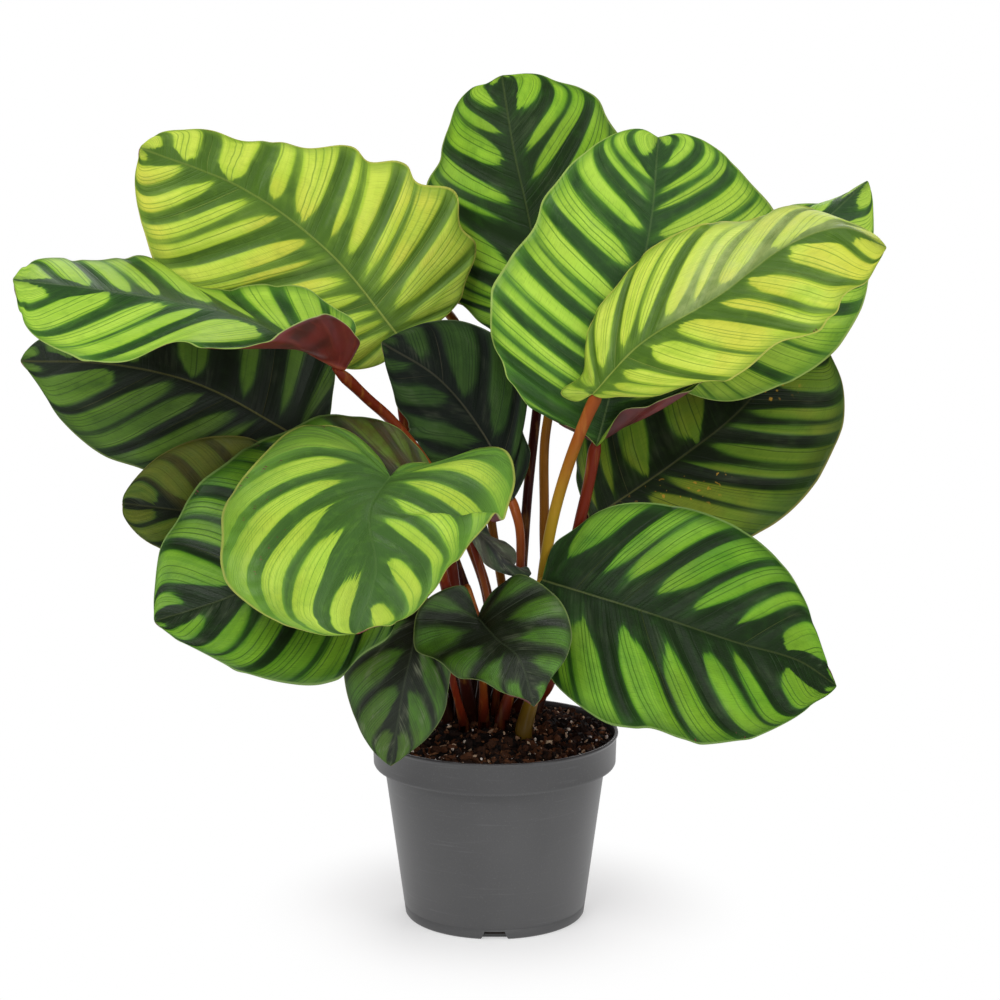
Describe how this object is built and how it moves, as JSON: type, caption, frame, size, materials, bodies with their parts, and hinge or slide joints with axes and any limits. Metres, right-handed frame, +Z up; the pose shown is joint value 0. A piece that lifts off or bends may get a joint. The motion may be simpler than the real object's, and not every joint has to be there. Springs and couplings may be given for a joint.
{
  "type": "potted calathea plant",
  "caption": "Calathea with twenty broad banded green leaves on red and olive stalks, in a dark grey round plastic nursery pot filled with peat.",
  "frame": {"origin": "middle of the pot's foot, on the surface it stands on", "axes": "+Z up along the pot's axis, -Y the side towards the viewer, +X to the viewer's right"},
  "size_m": [0.4738, 0.3805, 0.4703],
  "materials": {
    "pot_plastic": "satin dark grey",
    "peat": "rough peat",
    "leaf_bright": "soft gloss, yellow-green bands",
    "leaf_mid": "soft gloss, green bands",
    "leaf_dark": "soft gloss, dark green",
    "stalk_red": "smooth red-brown",
    "stalk_maroon": "smooth maroon",
    "stalk_olive": "smooth olive-yellow",
    "stalk_brown": "smooth brown"
  },
  "bodies": {
    "root": {"pot": "pot_plastic", "soil": "peat", "blade_upper_left": "leaf_bright", "stalk_upper_left": "stalk_maroon", "blade_left": "leaf_bright", "stalk_left": "stalk_red", "blade_lower_left": "leaf_mid", "stalk_lower_left": "stalk_red", "blade_small_left": "leaf_dark", "stalk_small_left": "stalk_red", "blade_bottom_left": "leaf_mid", "stalk_bottom_left": "stalk_red", "blade_front": "leaf_bright", "stalk_front": "stalk_red", "blade_centre": "leaf_dark", "stalk_centre": "stalk_red", "blade_top": "leaf_mid", "stalk_top": "stalk_maroon", "blade_centre_right": "leaf_bright", "stalk_centre_right": "stalk_red", "blade_right": "leaf_bright", "stalk_right": "stalk_olive", "blade_far_right": "leaf_bright", "stalk_far_right": "stalk_brown", "blade_dark_right": "leaf_dark", "stalk_dark_right": "stalk_red", "blade_bottom_right": "leaf_mid", "stalk_bottom_right": "stalk_olive", "blade_heart": "leaf_dark", "stalk_heart": "stalk_brown", "blade_small_front": "leaf_dark", "stalk_small_front": "stalk_red", "blade_curled": "leaf_dark", "stalk_curled": "stalk_red", "blade_back_left": "leaf_mid", "stalk_back_left": "stalk_brown", "blade_back_right": "leaf_mid", "stalk_back_right": "stalk_red", "blade_back_centre": "leaf_mid", "stalk_back_centre": "stalk_red", "blade_back_low": "leaf_mid", "stalk_back_low": "stalk_red"}
  },
  "joints": []
}
